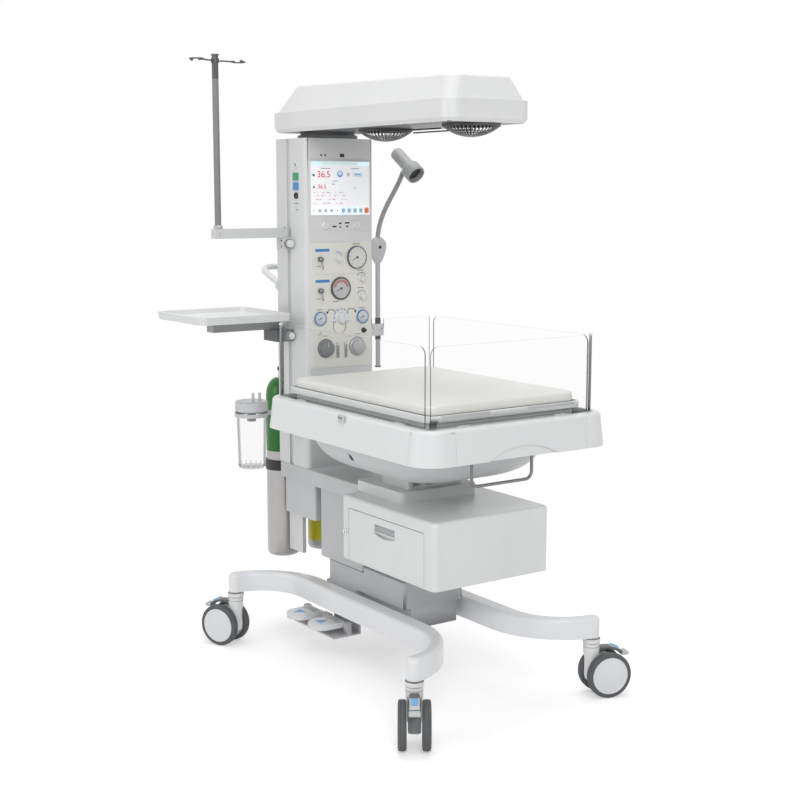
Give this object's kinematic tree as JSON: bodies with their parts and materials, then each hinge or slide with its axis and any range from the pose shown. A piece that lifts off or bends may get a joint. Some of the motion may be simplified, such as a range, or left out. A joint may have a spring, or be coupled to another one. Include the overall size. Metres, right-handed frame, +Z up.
{
  "type": "infant radiant warmer",
  "caption": "Mobile infant radiant warmer: tilting bed with clear panels, mast with gas controls, swivelling heater hood, drip pole, tray, lamp and drawer on a bowed castor base.",
  "frame": {"origin": "on the floor, under the middle of the footprint", "axes": "+Z up, +Y towards the mast, +X to the right when facing the mast from the foot end"},
  "size_m": [0.8621, 1.2027, 1.736],
  "materials": {
    "white_metal": "semi-gloss powder coat",
    "grey_metal": "satin powder coat",
    "dark_metal": "satin powder coat",
    "white_plastic": "fine satin moulding",
    "grey_plastic": "satin",
    "cream_panel": "satin",
    "screen": "glossy display",
    "clear_panel": "polished clear",
    "clear_jar": "polished clear",
    "anodised": "satin anodised",
    "pale_alloy": "satin anodised",
    "steel": "brushed",
    "reflector": "polished",
    "green_paint": "gloss",
    "yellow_paint": "gloss",
    "tyre": "matt",
    "cushion": "wipe-clean cover",
    "knob_white": "glossy",
    "knob_dark": "glossy"
  },
  "bodies": {
    "base": {"base_hub": "grey_metal", "left_leg": "white_metal", "right_leg": "white_metal", "inner_column": "grey_metal"},
    "raise_pedal": {"raise_pedal": "white_plastic"},
    "lower_pedal": {"lower_pedal": "white_plastic"},
    "castor_front_left": {"castor_fork_front_left": "white_plastic"},
    "wheels_front_left": {"castor_wheels_front_left": "tyre"},
    "brake_front_left": {"castor_brake_front_left": "grey_plastic"},
    "castor_front_right": {"castor_fork_front_right": "white_plastic"},
    "wheels_front_right": {"castor_wheels_front_right": "tyre"},
    "brake_front_right": {"castor_brake_front_right": "grey_plastic"},
    "castor_rear_left": {"castor_fork_rear_left": "white_plastic"},
    "wheels_rear_left": {"castor_wheels_rear_left": "tyre"},
    "brake_rear_left": {"castor_brake_rear_left": "grey_plastic"},
    "castor_rear_right": {"castor_fork_rear_right": "white_plastic"},
    "wheels_rear_right": {"castor_wheels_rear_right": "tyre"},
    "brake_rear_right": {"castor_brake_rear_right": "grey_plastic"},
    "carriage": {"lift_cover": "grey_metal", "lift_arm": "grey_metal", "tilt_head": "white_metal", "drawer_box": "white_metal", "mast_front": "white_plastic", "mast_extrusion": "pale_alloy", "display": "screen", "gas_panel": "cream_panel", "panel_instruments": "steel", "push_handle": "white_metal", "rail_clamps": "dark_metal", "left_cylinder": "green_paint", "right_cylinder": "yellow_paint", "cylinder_strap": "dark_metal"},
    "drawer": {"drawer": "white_metal"},
    "mixer_knob": {"mixer_knob": "knob_white"},
    "pressure_knob": {"pressure_knob": "knob_white"},
    "regulator_knob_upper": {"regulator_knob_upper": "knob_white"},
    "regulator_knob_lower": {"regulator_knob_lower": "knob_white"},
    "flow_knob_left": {"flow_knob_left": "knob_dark"},
    "flow_knob_right": {"flow_knob_right": "knob_dark"},
    "toggle_lever_upper": {"toggle_lever_upper": "steel"},
    "toggle_lever_lower": {"toggle_lever_lower": "steel"},
    "pole_arm": {"pole_arm": "grey_metal"},
    "drip_pole": {"drip_pole": "anodised"},
    "side_tray": {"tray_arm": "dark_metal", "side_tray": "white_plastic"},
    "lamp_stem": {"lamp_stem": "grey_plastic"},
    "lamp_head": {"lamp_head": "grey_plastic"},
    "suction_jar": {"suction_jar": "clear_jar"},
    "jar_lid": {"jar_lid": "white_plastic"},
    "hood": {"hood": "white_plastic", "heater_units": "reflector"},
    "bed": {"deck": "white_plastic", "cradle": "grey_metal", "grab_bar": "steel", "mattress_tray": "white_plastic", "mattress": "cushion"},
    "front_panel": {"front_panel": "clear_panel"},
    "left_panel": {"left_panel": "clear_panel"},
    "right_panel": {"right_panel": "clear_panel"},
    "rear_panel": {"rear_panel": "clear_panel"}
  },
  "joints": [
    {"name": "column_lift", "type": "slide", "parent": "base", "child": "carriage", "axis": [0, 0, 1], "range_m": [0, 0.2]},
    {"name": "raise_pedal_press", "type": "hinge", "parent": "base", "child": "raise_pedal", "pos_m": [-0.088, 0.255, 0.1185], "axis": [0, -1, 0], "range_deg": [0, 8], "stiffness_Nm_per_rad": 6, "springref_deg": -8.59},
    {"name": "lower_pedal_press", "type": "hinge", "parent": "base", "child": "lower_pedal", "pos_m": [-0.088, 0.135, 0.1185], "axis": [0, -1, 0], "range_deg": [0, 8], "stiffness_Nm_per_rad": 6, "springref_deg": -8.59},
    {"name": "swivel_front_left", "type": "hinge", "parent": "base", "child": "castor_front_left", "pos_m": [-0.2635, -0.498, 0.15], "axis": [0, 0, 1], "continuous": true},
    {"name": "roll_front_left", "type": "hinge", "parent": "castor_front_left", "child": "wheels_front_left", "pos_m": [-0.28644, -0.53077, 0.0625], "axis": [0.8192, -0.5736, 0], "continuous": true},
    {"name": "brake_press_front_left", "type": "hinge", "parent": "castor_front_left", "child": "brake_front_left", "pos_m": [-0.28071, -0.52257, 0.1305], "axis": [0.8192, -0.5736, 0], "range_deg": [0, 8]},
    {"name": "swivel_front_right", "type": "hinge", "parent": "base", "child": "castor_front_right", "pos_m": [0.3235, -0.498, 0.15], "axis": [0, 0, 1], "continuous": true},
    {"name": "roll_front_right", "type": "hinge", "parent": "castor_front_right", "child": "wheels_front_right", "pos_m": [0.36154, -0.51036, 0.0625], "axis": [0.309, 0.9511, 0], "continuous": true},
    {"name": "brake_press_front_right", "type": "hinge", "parent": "castor_front_right", "child": "brake_front_right", "pos_m": [0.35203, -0.50727, 0.1305], "axis": [0.309, 0.9511, 0], "range_deg": [0, 8]},
    {"name": "swivel_rear_left", "type": "hinge", "parent": "base", "child": "castor_rear_left", "pos_m": [-0.2635, 0.433, 0.15], "axis": [0, 0, 1], "continuous": true},
    {"name": "roll_rear_left", "type": "hinge", "parent": "castor_rear_left", "child": "wheels_rear_left", "pos_m": [-0.28103, 0.46895, 0.0625], "axis": [-0.8988, -0.4384, 0], "continuous": true},
    {"name": "brake_press_rear_left", "type": "hinge", "parent": "castor_rear_left", "child": "brake_rear_left", "pos_m": [-0.27665, 0.45996, 0.1305], "axis": [-0.8988, -0.4384, 0], "range_deg": [0, 8]},
    {"name": "swivel_rear_right", "type": "hinge", "parent": "base", "child": "castor_rear_right", "pos_m": [0.3235, 0.433, 0.15], "axis": [0, 0, 1], "continuous": true},
    {"name": "roll_rear_right", "type": "hinge", "parent": "castor_rear_right", "child": "wheels_rear_right", "pos_m": [0.34103, 0.46895, 0.0625], "axis": [-0.8988, 0.4384, 0], "continuous": true},
    {"name": "brake_press_rear_right", "type": "hinge", "parent": "castor_rear_right", "child": "brake_rear_right", "pos_m": [0.33665, 0.45996, 0.1305], "axis": [-0.8988, 0.4384, 0], "range_deg": [0, 8]},
    {"name": "drawer_slide", "type": "slide", "parent": "carriage", "child": "drawer", "axis": [-1, 0, 0], "range_m": [0, 0.3]},
    {"name": "mixer_knob_turn", "type": "hinge", "parent": "carriage", "child": "mixer_knob", "pos_m": [0.03, 0.293, 0.987], "axis": [0, -1, 0], "range_deg": [-135, 135]},
    {"name": "pressure_knob_turn", "type": "hinge", "parent": "carriage", "child": "pressure_knob", "pos_m": [0.018, 0.293, 1.163], "axis": [0, -1, 0], "range_deg": [0, 300]},
    {"name": "regulator_knob_upper_turn", "type": "hinge", "parent": "carriage", "child": "regulator_knob_upper", "pos_m": [0.102, 0.293, 1.101], "axis": [0, -1, 0], "range_deg": [0, 300]},
    {"name": "regulator_knob_lower_turn", "type": "hinge", "parent": "carriage", "child": "regulator_knob_lower", "pos_m": [0.102, 0.293, 1.048], "axis": [0, -1, 0], "range_deg": [0, 300]},
    {"name": "flow_knob_left_turn", "type": "hinge", "parent": "carriage", "child": "flow_knob_left", "pos_m": [-0.025, 0.293, 0.898], "axis": [0, -1, 0], "range_deg": [0, 300]},
    {"name": "flow_knob_right_turn", "type": "hinge", "parent": "carriage", "child": "flow_knob_right", "pos_m": [0.085, 0.293, 0.898], "axis": [0, -1, 0], "range_deg": [0, 300]},
    {"name": "toggle_lever_upper_flip", "type": "hinge", "parent": "carriage", "child": "toggle_lever_upper", "pos_m": [-0.042, 0.2852, 1.16], "axis": [-1, 0, 0], "range_deg": [0, 40]},
    {"name": "toggle_lever_lower_flip", "type": "hinge", "parent": "carriage", "child": "toggle_lever_lower", "pos_m": [-0.042, 0.2852, 1.068], "axis": [-1, 0, 0], "range_deg": [0, 40]},
    {"name": "pole_arm_swing", "type": "hinge", "parent": "carriage", "child": "pole_arm", "pos_m": [-0.1025, 0.393, 1.236], "axis": [0, 0, 1], "range_deg": [-80, 40]},
    {"name": "drip_pole_turn", "type": "hinge", "parent": "pole_arm", "child": "drip_pole", "pos_m": [-0.32, 0.393, 1.236], "axis": [0, 0, 1], "continuous": true},
    {"name": "side_tray_swing", "type": "hinge", "parent": "carriage", "child": "side_tray", "pos_m": [-0.12, 0.433, 0.96], "axis": [0, 0, -1], "range_deg": [0, 60]},
    {"name": "lamp_turn", "type": "hinge", "parent": "carriage", "child": "lamp_stem", "pos_m": [0.195, 0.345, 0.938], "axis": [0, 0, 1], "range_deg": [-75, 40]},
    {"name": "lamp_head_tilt", "type": "hinge", "parent": "lamp_stem", "child": "lamp_head", "pos_m": [0.276, 0.327, 1.414], "axis": [-0.9925, -0.1219, 0], "range_deg": [-18, 45]},
    {"name": "jar_lift", "type": "slide", "parent": "carriage", "child": "suction_jar", "axis": [0, 0, 1], "range_m": [0, 0.11]},
    {"name": "jar_lid_lift", "type": "slide", "parent": "suction_jar", "child": "jar_lid", "axis": [0, 0, 1], "range_m": [0, 0.05]},
    {"name": "hood_swivel", "type": "hinge", "parent": "carriage", "child": "hood", "pos_m": [0.03, 0.363, 1.517], "axis": [0, 0, 1], "range_deg": [-35, 90]},
    {"name": "bed_tilt", "type": "hinge", "parent": "carriage", "child": "bed", "pos_m": [0.03, -0.117, 0.655], "axis": [1, 0, 0], "range_deg": [-10, 10]},
    {"name": "front_panel_fold", "type": "hinge", "parent": "bed", "child": "front_panel", "pos_m": [0.03, -0.5056, 0.792], "axis": [1, 0, 0], "range_deg": [0, 90]},
    {"name": "left_panel_fold", "type": "hinge", "parent": "bed", "child": "left_panel", "pos_m": [-0.231, -0.154, 0.792], "axis": [0, -1, 0], "range_deg": [0, 90]},
    {"name": "right_panel_fold", "type": "hinge", "parent": "bed", "child": "right_panel", "pos_m": [0.291, -0.154, 0.792], "axis": [0, 1, 0], "range_deg": [0, 90]},
    {"name": "rear_panel_lift", "type": "slide", "parent": "bed", "child": "rear_panel", "axis": [0, 0, 1], "range_m": [0, 0.1]}
  ]
}
